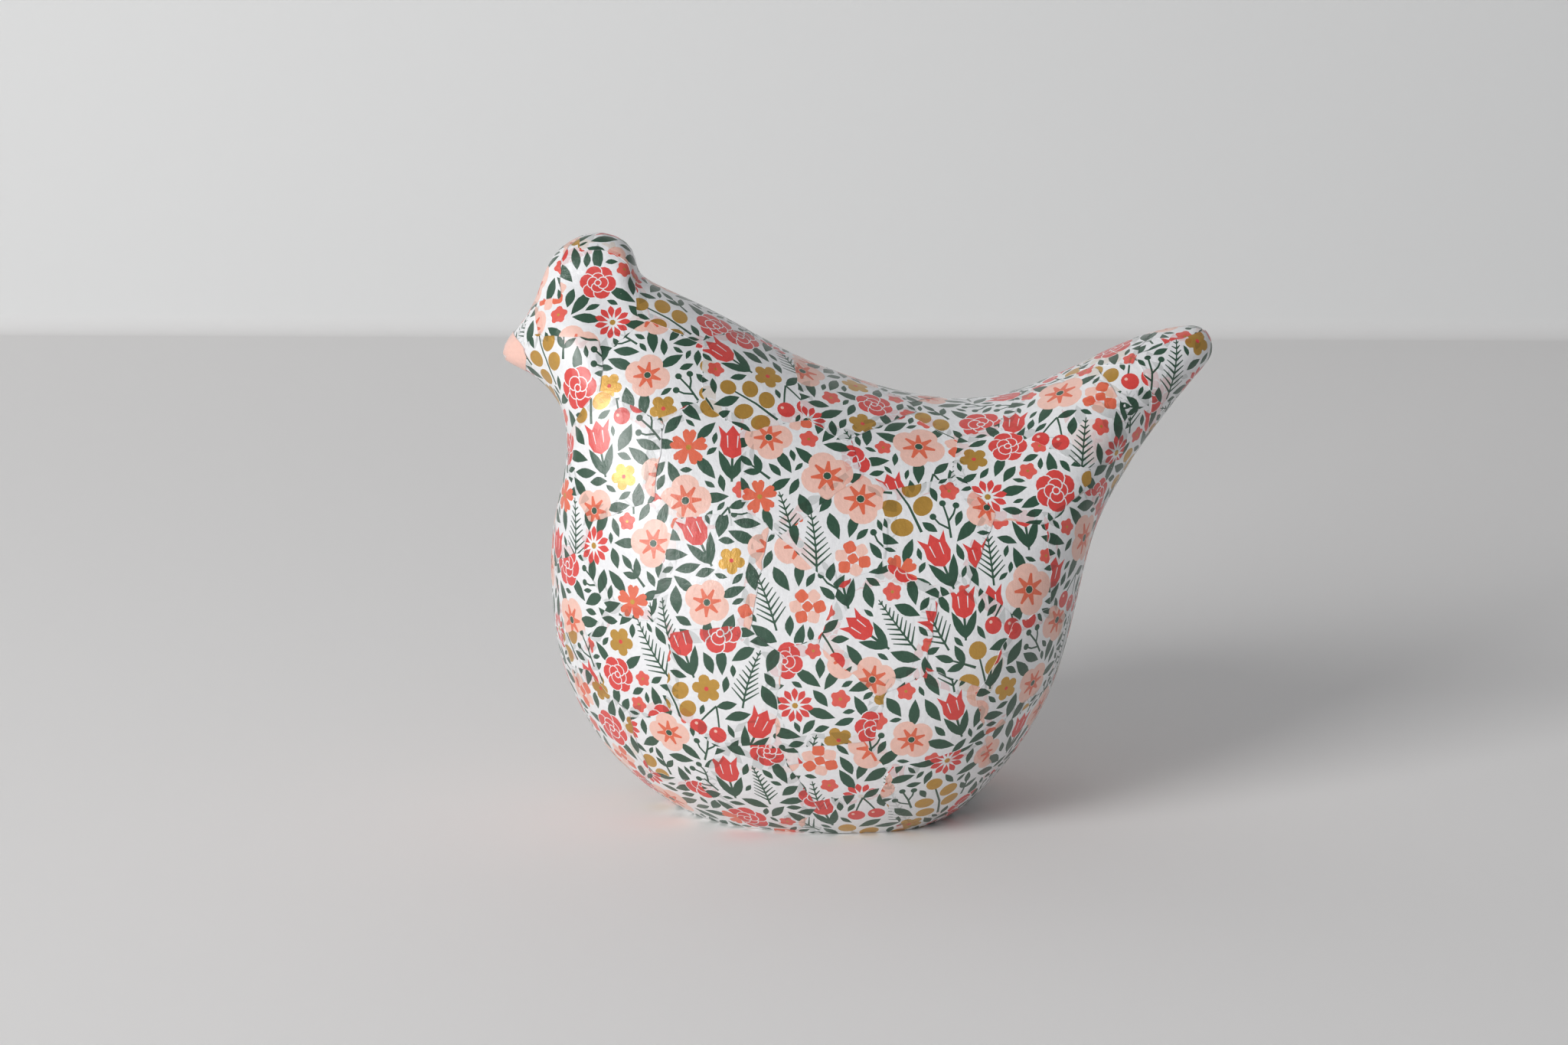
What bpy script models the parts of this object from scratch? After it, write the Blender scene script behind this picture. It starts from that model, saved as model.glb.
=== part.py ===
"""A hen figurine of papier-mache, modelled as one solid at its real size.

The hen looks along -X and its tail points along +X. Z is up. The origin is on the
surface it stands on, under the middle of its length.

The form is lofted through stations that fan round the saddle of the back. Each station
is a slice across the body. It runs from a point on the upper outline, over the crest,
nape and back, to a point on the lower outline, round the throat, breast and belly.
Lengths along X are shares of LENGTH, heights are shares of HEIGHT and half widths are
shares of WIDTH. The belly is then cut flat for the hen to stand on.
"""

import math

import bmesh
import bpy
import numpy as np

# Driving dimensions, in metres.
LENGTH = 0.200
HEIGHT = 0.1655
WIDTH = 0.112

# How finely the form is divided: slices from beak to tail, and points round each slice.
SLICES = 82
ROUND = 56

# Upper outline (x, z), lower outline (x, z), half width, how far the widest point
# sits below the middle of the slice, and how far the waist below the comb is pinched.
STATIONS = (
    ((-0.499, 0.790), (-0.499, 0.790), 0.000, 0.00, 0.0),
    ((-0.495, 0.813), (-0.487, 0.778), 0.034, 0.00, 0.0),
    ((-0.480, 0.838), (-0.469, 0.767), 0.064, 0.00, 0.0),
    ((-0.462, 0.868), (-0.446, 0.749), 0.100, 0.01, 0.06),
    ((-0.447, 0.905), (-0.425, 0.722), 0.136, 0.02, 0.17),
    ((-0.431, 0.952), (-0.411, 0.688), 0.166, 0.03, 0.30),
    ((-0.400, 0.988), (-0.406, 0.643), 0.190, 0.03, 0.39),
    ((-0.357, 1.000), (-0.410, 0.595), 0.212, 0.03, 0.41),
    ((-0.320, 0.976), (-0.421, 0.546), 0.234, 0.03, 0.32),
    ((-0.309, 0.938), (-0.430, 0.496), 0.256, 0.03, 0.16),
    ((-0.287, 0.915), (-0.435, 0.444), 0.279, 0.02, 0.05),
    ((-0.245, 0.891), (-0.435, 0.384), 0.311, 0.02, 0.0),
    ((-0.182, 0.853), (-0.427, 0.294), 0.361, 0.02, 0.0),
    ((-0.109, 0.805), (-0.396, 0.182), 0.414, 0.02, 0.0),
    ((-0.034, 0.764), (-0.323, 0.062), 0.465, 0.02, 0.0),
    ((0.041, 0.734), (-0.187, -0.036), 0.495, 0.02, 0.0),
    ((0.106, 0.718), (-0.020, -0.064), 0.500, 0.02, 0.0),
    ((0.161, 0.715), (0.122, -0.022), 0.480, 0.02, 0.0),
    ((0.212, 0.724), (0.222, 0.092), 0.430, 0.01, 0.0),
    ((0.263, 0.747), (0.281, 0.221), 0.362, 0.00, 0.0),
    ((0.316, 0.777), (0.311, 0.354), 0.288, -0.02, 0.0),
    ((0.368, 0.808), (0.332, 0.474), 0.218, -0.03, 0.0),
    ((0.416, 0.832), (0.372, 0.581), 0.160, -0.03, 0.0),
    ((0.460, 0.844), (0.422, 0.675), 0.112, -0.02, 0.0),
    ((0.488, 0.840), (0.466, 0.746), 0.070, 0.00, 0.0),
    ((0.499, 0.819), (0.490, 0.781), 0.034, 0.00, 0.0),
    ((0.499, 0.799), (0.499, 0.799), 0.000, 0.00, 0.0),
)

# The waist between comb and cheeks: how far down its slice it lies, and its spread.
WAIST = 0.12
WAIST_SPREAD = 0.20

PAPER_WHITE = (0.84, 0.80, 0.78, 1.0)
VARNISH_ROUGHNESS = 0.32


def clear_scene():
    for obj in list(bpy.data.objects):
        bpy.data.objects.remove(obj)


def station_knots():
    """How far along the fan each station lies, from the gaps between both its ends."""
    knots = [0.0]
    for (top_a, low_a, *_), (top_b, low_b, *_) in zip(STATIONS, STATIONS[1:]):
        gap = math.sqrt((math.dist(top_a, top_b) + math.dist(low_a, low_b)) / 2)
        knots.append(knots[-1] + gap)
    return np.array(knots)


def closed_curve(knots, values, end):
    """A function that runs smoothly through values at knots and round again at end."""
    count = len(knots)
    step = np.diff(np.append(knots, end))
    rise = (np.roll(values, -1, 0) - values) / step[:, None]
    system = np.zeros((count, count))
    for i in range(count):
        system[i, i - 1] += step[i - 1]
        system[i, i] += 2 * (step[i - 1] + step[i])
        system[i, (i + 1) % count] += step[i]
    bend = np.linalg.solve(system, 6 * (rise - np.roll(rise, 1, 0)))

    def at(place):
        place = place % end
        i = int(np.searchsorted(knots, place, side="right")) - 1
        j = (i + 1) % count
        ahead = place - knots[i]
        left = step[i] - ahead
        straight = (values[i] * left + values[j] * ahead) / step[i]
        curved = (
            bend[i] * (left**3 / step[i] - step[i] * left)
            + bend[j] * (ahead**3 / step[i] - step[i] * ahead)
        ) / 6
        return straight + curved

    return at


def form():
    """Two functions of the place along the fan: the outline, and the slice's shape."""
    knots = station_knots()
    end = 2 * knots[-1]
    inner = slice(1, -1)
    round_knots = np.concatenate([knots, end - knots[inner][::-1]])
    tops = np.array([s[0] for s in STATIONS])
    lows = np.array([s[1] for s in STATIONS])
    outline = closed_curve(round_knots, np.concatenate([tops, lows[inner][::-1]]), end)
    shape = np.array([s[2:] for s in STATIONS])
    back = shape[inner][::-1] * np.array([-1.0, 1.0, 1.0])
    return knots[-1], outline, closed_curve(round_knots, np.concatenate([shape, back]), end)


def slice_points(outline, shape, place):
    """The points round one slice, from the upper outline down one side and up the other."""
    top, low = outline(place), outline(-place)
    half_width, droop, pinch = shape(place)
    points = []
    for k in range(ROUND):
        turn = 2 * math.pi * k / ROUND
        down = (1 - math.cos(turn)) / 2 + droop * math.sin(turn) ** 2
        x, z = top + (low - top) * down
        past_waist = ((1 - math.cos(turn)) / 2 - WAIST) / WAIST_SPREAD
        crest = 1 - pinch * math.exp(-past_waist**2)
        y = half_width * crest * math.sin(turn)
        points.append((x * LENGTH, y * WIDTH, z * HEIGHT))
    return points


def loft(mesh):
    """The whole closed, smooth form, with a point at the beak's tip and at the tail's."""
    length, outline, shape = form()
    rings = []
    for i in range(1, SLICES):
        points = slice_points(outline, shape, length * i / SLICES)
        rings.append([mesh.verts.new(p) for p in points])
    x, z = outline(0.0)
    beak = mesh.verts.new((x * LENGTH, 0, z * HEIGHT))
    x, z = outline(length)
    tail = mesh.verts.new((x * LENGTH, 0, z * HEIGHT))
    for k in range(ROUND):
        n = (k + 1) % ROUND
        mesh.faces.new((beak, rings[0][n], rings[0][k]))
        mesh.faces.new((tail, rings[-1][k], rings[-1][n]))
        for ring, after in zip(rings, rings[1:]):
            mesh.faces.new((ring[k], ring[n], after[n], after[k]))
    for face in mesh.faces:
        face.smooth = True


def cut_foot(mesh):
    """Cuts the belly off at the ground and closes it with one flat, flat-shaded face."""
    everything = mesh.verts[:] + mesh.edges[:] + mesh.faces[:]
    cut = bmesh.ops.bisect_plane(
        mesh,
        geom=everything,
        dist=1e-6,
        plane_co=(0, 0, 0),
        plane_no=(0, 0, -1),
        clear_outer=True,
    )
    rim = [e for e in cut["geom_cut"] if isinstance(e, bmesh.types.BMEdge)]
    bmesh.ops.contextual_create(mesh, geom=rim)


def varnished_paper():
    material = bpy.data.materials.new("varnished_paper")
    material.use_nodes = True
    shader = material.node_tree.nodes["Principled BSDF"]
    shader.inputs["Base Color"].default_value = PAPER_WHITE
    shader.inputs["Roughness"].default_value = VARNISH_ROUGHNESS
    shader.inputs["Metallic"].default_value = 0.0
    return material


def make_hen():
    mesh = bmesh.new()
    loft(mesh)
    cut_foot(mesh)
    bmesh.ops.recalc_face_normals(mesh, faces=mesh.faces)
    data = bpy.data.meshes.new("hen")
    mesh.to_mesh(data)
    mesh.free()
    data.materials.append(varnished_paper())
    hen = bpy.data.objects.new("hen", data)
    bpy.context.scene.collection.objects.link(hen)
    return hen


clear_scene()
make_hen()
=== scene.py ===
# %% [markdown]
# # A papier-mache hen pasted over with floral paper
#
# The real hen is a hollow papier-mache form. Someone cut thin printed paper into pieces
# about as long as a thumb joint, pasted them on edge over edge, and brushed varnish over
# them. So the look has three parts: the pieces of paper with their overlaps, the print
# on them, and the varnish.
#
# An image wrapped round the form would be the quick way, but it would show neither the
# edges nor the thickness of the pieces. Here each piece of paper is a mesh of its own,
# laid on the form as a maker lays it, and the print is cut into its faces.

import math

import bpy
import numpy as np
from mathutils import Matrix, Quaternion, Vector
from mathutils.bvhtree import BVHTree
from mathutils.geometry import delaunay_2d_cdt


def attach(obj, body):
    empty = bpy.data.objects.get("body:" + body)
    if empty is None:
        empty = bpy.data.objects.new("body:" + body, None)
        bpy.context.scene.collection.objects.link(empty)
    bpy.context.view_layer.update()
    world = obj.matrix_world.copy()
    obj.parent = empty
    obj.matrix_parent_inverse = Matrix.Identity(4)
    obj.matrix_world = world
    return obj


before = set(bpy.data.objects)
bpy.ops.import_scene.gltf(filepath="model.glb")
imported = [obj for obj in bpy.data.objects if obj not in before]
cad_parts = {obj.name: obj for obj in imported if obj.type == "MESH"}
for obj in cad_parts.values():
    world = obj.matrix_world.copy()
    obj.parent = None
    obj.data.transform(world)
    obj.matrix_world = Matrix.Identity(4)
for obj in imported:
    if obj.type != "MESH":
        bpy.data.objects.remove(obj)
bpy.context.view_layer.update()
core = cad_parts["hen"]

# %% [markdown]
# ## The camera
#
# The photograph was taken a little above the hen's back, square to its side. A camera
# could be aimed straight at the hen with a lens shift, but turning the camera keeps
# the shift at zero, which suits other views too. The hen's middle shows right of the
# picture's centre, so the camera is aimed at it first and then turned away by the angle
# that those pixels make.

# %% Stand the camera where the photographer stood
IMAGE_WIDTH = 2048
IMAGE_HEIGHT = 1365
SENSOR_MM = 36.0
LENS_MM = 70.0
CAMERA_ELEVATION = math.radians(12.5)
CAMERA_DISTANCE = 0.8745
HEN_MIDDLE = Vector((0.0, 0.0, 0.078))
MIDDLE_PIXEL = (1119.5, 704.0)
FOCAL_PIXELS = IMAGE_WIDTH * LENS_MM / SENSOR_MM


def added(name, data):
    """A new object in the scene."""
    obj = bpy.data.objects.new(name, data)
    bpy.context.scene.collection.objects.link(obj)
    return obj


def photographers_camera():
    data = bpy.data.cameras.new("camera")
    data.sensor_width = SENSOR_MM
    data.lens = LENS_MM
    data.clip_start = 0.01
    data.clip_end = 50.0
    camera = added("camera", data)
    back = Vector((0, -math.cos(CAMERA_ELEVATION), math.sin(CAMERA_ELEVATION)))
    aim = (-back).to_track_quat("-Z", "Y")
    left = math.atan((MIDDLE_PIXEL[0] - IMAGE_WIDTH / 2) / FOCAL_PIXELS)
    up = math.atan((MIDDLE_PIXEL[1] - IMAGE_HEIGHT / 2) / FOCAL_PIXELS)
    aim = Quaternion((0, 0, 1), left) @ aim
    aim = Quaternion(aim @ Vector((1, 0, 0)), up) @ aim
    camera.location = HEN_MIDDLE + back * CAMERA_DISTANCE
    camera.rotation_mode = "QUATERNION"
    camera.rotation_quaternion = aim
    bpy.context.scene.camera = camera
    return camera


camera = photographers_camera()
print("camera at", [round(x, 3) for x in camera.location])

# %% [markdown]
# ## The smooth form under the paper
#
# The CAD hen is made of flat triangles. Paper laid straight on them would show each
# facet, so the paper is laid on a smoothed version instead: a point on a triangle is
# pulled towards the planes at its three corners, which rounds the triangle out. All
# lengths from here to the meshes are in millimetres, a good unit for paper.

# %% Read the smooth form from the frame
MM = 0.001
WELD = 1e-3
FOOT_LEVEL = 0.02
ROUNDING = 0.75


def unit(vectors):
    return vectors / np.maximum(np.linalg.norm(vectors, axis=-1, keepdims=True), 1e-12)


def dot(a, b):
    return (a * b).sum(-1, keepdims=True)


def sides(at):
    """Two sides of each triangle, from its first corner."""
    return at[:, 1] - at[:, 0], at[:, 2] - at[:, 0]


def welded_form(obj):
    """The corners and triangles of a mesh, with corners at one place made one."""
    mesh = obj.data
    mesh.calc_loop_triangles()
    places = np.array([v.co for v in mesh.vertices]) / MM
    keys = np.round(places / WELD).astype(np.int64)
    _, first, same = np.unique(keys, axis=0, return_index=True, return_inverse=True)
    used = np.array([t.vertices for t in mesh.loop_triangles])
    return places[first], same.reshape(-1)[used]


def corner_directions(corners, triangles, foot):
    """Straight out at each corner of each triangle: smooth, but sharp round the foot."""
    at = corners[triangles]
    flat = unit(np.cross(*sides(at)))
    total = np.zeros_like(corners)
    for k in range(3):
        one = unit(at[:, (k + 1) % 3] - at[:, k])
        other = unit(at[:, (k + 2) % 3] - at[:, k])
        angle = np.arccos(np.clip(dot(one, other), -1, 1))
        np.add.at(total, triangles[~foot, k], (flat * angle)[~foot])
    directions = unit(total)[triangles]
    directions[foot] = (0, 0, -1)
    return directions


corners, triangles = welded_form(core)
foot = (corners[triangles][:, :, 2] < FOOT_LEVEL).all(1)
directions = corner_directions(corners, triangles, foot)
tree = BVHTree.FromPolygons(corners.tolist(), triangles.tolist())


def nearest(places):
    """The nearest spots of the smooth form, and the direction straight out at each."""
    hits = [tree.find_nearest(place) for place in places.tolist()]
    spots = np.array([hit[0][:] for hit in hits])
    faces = np.array([hit[2] for hit in hits])
    at = corners[triangles[faces]]
    (one, other), to = sides(at), spots - at[:, 0]
    a, b, c = (one * one).sum(1), (one * other).sum(1), (other * other).sum(1)
    d, e = (to * one).sum(1), (to * other).sum(1)
    size = np.maximum(a * c - b * b, 1e-12)
    second, third = (c * d - b * e) / size, (a * e - b * d) / size
    shares = np.stack([1 - second - third, second, third], 1)[:, :, None]
    out = unit((shares * directions[faces]).sum(1))
    pulled = spots[:, None] - dot(spots[:, None] - at, directions[faces]) * directions[faces]
    return spots + ROUNDING * ((shares * pulled).sum(1) - spots), out


print("form:", len(corners), "corners,", len(triangles), "triangles,", foot.sum(), "in the foot")

# %% [markdown]
# ## Walking over the form
#
# A piece of paper is flat before it is pasted on. To find where each of its points
# comes to lie, walk from the middle of the piece over the form, in the point's own
# direction and for its own distance, and turn with the surface at each step. That
# keeps sizes true along every line from the middle, much as paper does. To press the
# points straight down on the form would be simpler, but stretches the print on a slope.

# %% Walk from a spot over the form
STRIDE = 2.5
UPRIGHT = np.array([-0.35, 0.0, 1.0])


def walk(start, headings, lengths):
    """Where walks of these lengths end, and the direction straight out there."""
    steps = max(1, math.ceil(lengths.max() / STRIDE))
    stride = (lengths / steps)[:, None]
    places = np.tile(start, (len(lengths), 1))
    for _ in range(steps):
        places, outs = nearest(places + headings * stride)
        headings = unit(headings - dot(headings, outs) * outs)
    return places, outs


def way_up(out, turn):
    """The way up a print pasted on with that turn. On the level back it points to the head."""
    up = unit(UPRIGHT - out * (UPRIGHT @ out))
    return math.cos(turn) * up + math.sin(turn) * np.cross(out, up)


print("the way up on the level back:", way_up(np.array([0.0, 0.0, 1.0]), 0.0).round(2))

# %% [markdown]
# ## How large a piece can be
#
# A maker uses large pieces on the round body and small ones on the comb, beak and tail,
# because stiff paper only bends so far before it creases. So each piece reaches out from
# its middle until the form has turned away by a set angle, or to its full size.

# %% Find how far a piece reaches on the form
FULL_HALF = 14.0
LEAST_HALF = 3.2
REACH_STEP = 1.75
REACH_TURN = math.cos(math.radians(50))


def reach(centre, out, up):
    """Half the width and half the height of a piece there."""
    right = np.cross(up, out)
    headings = np.array([right, -right, up, -up])
    places = np.tile(centre, (4, 1))
    found = np.full(4, FULL_HALF)
    for step in range(1, round(FULL_HALF / REACH_STEP)):
        places, outs = nearest(places + headings * REACH_STEP)
        headings = unit(headings - dot(headings, outs) * outs)
        turned = (outs @ out < REACH_TURN) & (places[:, 2] > FOOT_LEVEL)
        found = np.where(turned, np.minimum(found, step * REACH_STEP), found)
    return np.maximum([found[:2].min(), found[2:].min()], LEAST_HALF)


for place, spot, out in zip(("side", "beak"), *nearest(np.array([[0, -60, 80], [-110, 0, 130]]))):
    print("half sizes in mm of a piece on the", place, reach(spot, out, way_up(out, 0.0)).round(1))

# %% [markdown]
# ## Where the pieces go
#
# Spots are scattered evenly over the form first. Middles of pieces are then thrown in at
# random, kept apart by their size, and moved to the middle of the area that is nearest
# to them, a few times over. This spreads them as evenly as a careful hand does, and
# still leaves no rows.

# %% Spread the middles of the pieces over the form
SEED = 7
SPOTS = 15000
THROWS = 4000
APART = 0.75
TURN_SPREAD = math.radians(7)
SPREAD_ROUNDS = 8
rng = np.random.default_rng(SEED)


def scattered_spots(count):
    """Spots all over the form except its foot, the directions out, and the area."""
    shown = np.flatnonzero(~foot)
    at = corners[triangles[shown]]
    area = np.linalg.norm(np.cross(*sides(at)), axis=1)
    chosen = rng.choice(len(shown), count, p=area / area.sum())
    shares = rng.dirichlet((1, 1, 1), count)[:, :, None]
    spots = (shares * at[chosen]).sum(1)
    return spots, unit((shares * directions[shown[chosen]]).sum(1)), area.sum() / 2


def spread_middles(spots, outs):
    """Middles of pieces, with the direction straight out and the size of each."""
    middles, scales = [], []
    for i in rng.permutation(len(spots))[:THROWS]:
        if middles:
            gaps = np.linalg.norm(np.array(middles) - spots[i], axis=1)
            if (gaps < APART * np.array(scales)).any():
                continue
        halves = reach(spots[i], outs[i], way_up(outs[i], 0))
        scale = math.sqrt(halves.prod())
        if middles and (gaps < APART * (np.array(scales) + scale)).any():
            continue
        middles.append(spots[i])
        scales.append(scale)
    middles = np.array(middles)
    for _ in range(SPREAD_ROUNDS):
        gaps = np.linalg.norm(spots[:, None] - middles, axis=2) / np.array(scales)
        owner = gaps.argmin(1)
        means = [
            spots[owner == k].mean(0) if (owner == k).any() else middle
            for k, middle in enumerate(middles)
        ]
        middles, out = nearest(np.array(means))
        scales = [math.sqrt(reach(m, o, way_up(o, 0)).prod()) for m, o in zip(middles, out)]
    return middles, out, np.array(scales)


spots, spot_outs, form_area = scattered_spots(SPOTS)
middles, middle_outs, middle_scales = spread_middles(spots, spot_outs)
print("form area in square cm:", round(form_area / 100), "pieces:", len(middles))

# %% [markdown]
# ## Flat outlines
#
# The edge of a piece of paper and each shape of its print are closed outlines: rings of
# points on flat paper. Three helpers are enough for them. The first trims an outline as
# scissors do, the second tells which points lie inside it, and the third measures it.

# %% Trim, test and measure flat outlines
def clipped(outline, direction, far):
    """The part of a convex outline that goes no further than far in a direction."""
    found = []
    for start, end in zip(outline, np.roll(outline, -1, 0)):
        left_a, left_b = far - start @ direction, far - end @ direction
        if left_a >= 0:
            found.append(start)
        if left_a * left_b < 0:
            found.append(start + (end - start) * left_a / (left_a - left_b))
    return np.array(found)


def inside(points, outline):
    """Which points lie inside a closed outline."""
    found = np.zeros(len(points), bool)
    for (ax, ay), (bx, by) in zip(outline, np.roll(outline, -1, 0)):
        crosses = (points[:, 1] < ay) != (points[:, 1] < by)
        if crosses.any():
            rise = (points[:, 1] - ay) / (by - ay if by != ay else 1)
            found ^= crosses & (points[:, 0] < ax + (bx - ax) * rise)
    return found


def area_of(points):
    """The area in an outline, negative where it runs clockwise."""
    x, y = points.T
    return (x * np.roll(y, -1) - y * np.roll(x, -1)).sum() / 2


square = np.array([(0.0, 0.0), (2.0, 0.0), (2.0, 2.0), (0.0, 2.0)])
trimmed = clipped(square, np.array([1.0, 0.0]), 1.5)
print("a 2 mm square trimmed to 1.5 mm has", area_of(trimmed), "square mm")

# %% [markdown]
# ## One piece of paper
#
# A piece keeps a small grid of where its flat points come to lie. Any flat point is
# read off between four grid points. The other way round, from a spot on the form to
# the flat paper, is found by a guess that is corrected a few times. That way round
# tells which spots a piece covers and what lies under it.

# %% A piece of paper with its own flat coordinates
GRID_PITCH = 2.5
GRID_MARGIN = 2.0
SIDE_STEP = 2.2
CORNER_SHIFT = 1.1
SHIFT_SHARE = 0.12
CORNER_CUT = 0.7
SHORT_SIDE = 2.5 * CORNER_CUT
WAVER = 0.22
CORRECTIONS = 6
LEAST_STRETCH = 0.05
NEAR_SHARE = 1.6
MOST_MISS = 1.0


class Piece:
    """A piece of paper on the form. Flat coordinates are in mm, to the right and up."""

    ink = "white"

    def __init__(self, centre, out, turn, halves, limits=()):
        self.centre, self.out, self.halves = centre, out, np.array(halves)
        self.up = way_up(out, turn)
        self.right = np.cross(self.up, out)
        span = 2 * (self.halves + GRID_MARGIN)
        self.counts = np.ceil(span / GRID_PITCH).astype(int) + 1
        self.pitch = span / (self.counts - 1)
        self.low = -span / 2
        grid = np.stack(np.meshgrid(*map(np.arange, self.counts), indexing="ij"), -1)
        flat = (self.low + grid * self.pitch).reshape(-1, 2)
        headings = unit(flat[:, :1] * self.right + flat[:, 1:] * self.up)
        places, _ = walk(centre, headings, np.linalg.norm(flat, axis=1))
        self.places = places.reshape(*self.counts, 3)
        self.edge = self.cut_edge(limits)

    def cut_edge(self, limits):
        """The outline of a piece cut by hand: nearly straight sides and soft corners."""
        a, b = self.halves
        shift = min(CORNER_SHIFT, SHIFT_SHARE * min(a, b))
        outline = np.array([(-a, -b), (a, -b), (a, b), (-a, b)])
        outline = outline + rng.uniform(-shift, shift, (4, 2))
        for place, far in limits:
            to = place - self.centre
            outline = clipped(outline, unit(np.array([to @ self.right, to @ self.up])), far)
        points = []
        for start, end in zip(outline, np.roll(outline, -1, 0)):
            length = np.linalg.norm(end - start)
            if length < SHORT_SIDE:
                points.append((start + end)[None] / 2)
                continue
            count = max(2, round(length / SIDE_STEP))
            along = np.linspace(CORNER_CUT / length, 1 - CORNER_CUT / length, count + 1)
            off = rng.normal(0, WAVER, count + 1) * np.sin(np.pi * along) ** 0.5
            across = np.array([start[1] - end[1], end[0] - start[0]]) / length
            points.append(start + (end - start) * along[:, None] + across * off[:, None])
        return np.concatenate(points)

    def laid(self, flat):
        """Where flat points lie on the form, and how the place changes to the right and up."""
        grid = (flat - self.low) / self.pitch
        cell = np.clip(grid.astype(int), 0, self.counts - 2)
        s, t = (grid - cell)[:, :1], (grid - cell)[:, 1:]
        i, j = cell.T
        a, b = self.places[i, j], self.places[i + 1, j]
        c, d = self.places[i, j + 1], self.places[i + 1, j + 1]
        place = (a * (1 - s) + b * s) * (1 - t) + (c * (1 - s) + d * s) * t
        rightward = ((b - a) * (1 - t) + (d - c) * t) / self.pitch[0]
        upward = ((c - a) * (1 - s) + (d - b) * s) / self.pitch[1]
        return place, rightward, upward

    def flattened(self, places):
        """Flat points for spots on the form, and how far off each is."""
        to = places - self.centre
        flat = np.stack([to @ self.right, to @ self.up], 1)
        limit = self.halves + GRID_MARGIN
        for _ in range(CORRECTIONS):
            flat = np.clip(flat, -limit, limit)
            place, rightward, upward = self.laid(flat)
            miss = places - place
            ways = (rightward, upward)
            moves = [dot(miss, way) / np.maximum(dot(way, way), LEAST_STRETCH) for way in ways]
            flat = flat + np.concatenate(moves, 1)
        place, _, _ = self.laid(flat)
        return flat, np.linalg.norm(places - place, axis=1)

    def covers(self, places, share=1.0):
        """Which of these spots lie under the piece, or under that share of it."""
        far = NEAR_SHARE * np.linalg.norm(self.halves)
        near = np.linalg.norm(places - self.centre, axis=1) < far
        found = np.zeros(len(places), bool)
        if near.any():
            flat, miss = self.flattened(places[near])
            found[near] = inside(flat, self.edge * share) & (miss < MOST_MISS)
        return found


# %% [markdown]
# ## Covering the whole hen
#
# A maker cuts each piece to fit, so that it laps only a few millimetres over the next.
# Here the gap to each neighbour is shared out by size, and each piece ends a little past
# its share. Then each scattered spot is tested for paper. Where bare form still shows, a
# smaller patch goes on, as a maker would patch a gap.

# %% Lay the pieces and patch the gaps
LAP = 1.9
GENEROUS = 1.4
SIZE_SPREAD = (0.92, 1.05)
SAME_WAY = 0.1
SAFE_SHARE = 0.95
PATCH_HALF = 8.5
MOST_PATCHES = 80


def piece_at(centre, out, most, limits=()):
    turn = rng.normal(0, TURN_SPREAD)
    halves = np.minimum(reach(centre, out, way_up(out, turn)), most)
    if limits:
        halves = halves * GENEROUS
    return Piece(centre, out, turn, halves * rng.uniform(*SIZE_SPREAD, 2), limits)


def limits_of(k):
    """The neighbours of a piece and how far it goes towards each."""
    gaps = np.linalg.norm(middles - middles[k], axis=1)
    shares = middle_scales[k] / (middle_scales[k] + middle_scales)
    same_side = (middle_outs @ middle_outs[k] > SAME_WAY) & (gaps > 0)
    return [(middles[j], shares[j] * gaps[j] + LAP) for j in np.flatnonzero(same_side)]


pieces = [
    piece_at(middle, out, FULL_HALF, limits_of(k))
    for k, (middle, out) in enumerate(zip(middles, middle_outs))
]
covered = np.stack([p.covers(spots, SAFE_SHARE) for p in pieces], 1)
bare = ~covered.any(1)
print("bare before patching:", bare.sum(), "of", len(spots))
while bare.any() and len(pieces) < len(middles) + MOST_PATCHES:
    gaps = np.linalg.norm(spots[bare][:, None] - spots[bare], axis=2)
    worst = np.flatnonzero(bare)[(gaps < PATCH_HALF).sum(1).argmax()]
    patch = piece_at(spots[worst], spot_outs[worst], PATCH_HALF)
    pieces.append(patch)
    bare &= ~patch.covers(spots, SAFE_SHARE)
    bare[worst] = False
print("pieces with patches:", len(pieces), "still bare:", bare.sum())

# %% [markdown]
# ## The beak and the layers
#
# The tip of the beak is covered by one oval piece without print, in peach. It goes on
# last, over the ends of the pieces around it, and reaches further round the sides of the
# beak than over its ridge. Paint would do too, but paper gives the tip the same edge and
# sheen as the rest.
#
# Pieces that overlap can't lie at one height. Each gets the lowest layer that none of
# the pieces it touches has, and the cap gets the one above all that it touches.

# %% Cap the beak and sort the pieces into layers
CAP_SIDEWAYS = 12.5
CAP_UPWARD = 7.8
CAP_POINTS = 20
CAP_WAVER = 0.012
WIDE_SHARE = 1.06


def beak_cap():
    """A square piece at the tip of the beak, cut down to an oval."""
    centre, out = nearest(corners[corners[:, 0].argmin()][None])
    cap = Piece(centre[0], out[0], 0.0, (CAP_SIDEWAYS, CAP_SIDEWAYS))
    turn = np.arange(CAP_POINTS) * 2 * math.pi / CAP_POINTS
    share = 1 + rng.normal(0, CAP_WAVER, CAP_POINTS)
    cap.edge = np.stack([np.cos(turn) * CAP_SIDEWAYS * share, np.sin(turn) * CAP_UPWARD * share], 1)
    cap.ink = "peach"
    return cap


pieces.append(beak_cap())


def sorted_into_layers(pieces):
    """Each piece's layer, and which pieces touch."""
    wide = np.stack([p.covers(spots, WIDE_SHARE) for p in pieces], 1).astype(np.float32)
    touching = wide.T @ wide > 0
    layers = np.full(len(pieces), -1)
    for k in rng.permutation(len(pieces) - 1):
        used = set(layers[touching[k]])
        layers[k] = next(n for n in range(len(pieces)) if n not in used)
    layers[-1] = layers[touching[-1]].max() + 1
    return layers, touching


layers, touching = sorted_into_layers(pieces)
print("layers:", [int((layers == n).sum()) for n in range(layers.max() + 1)])

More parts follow.
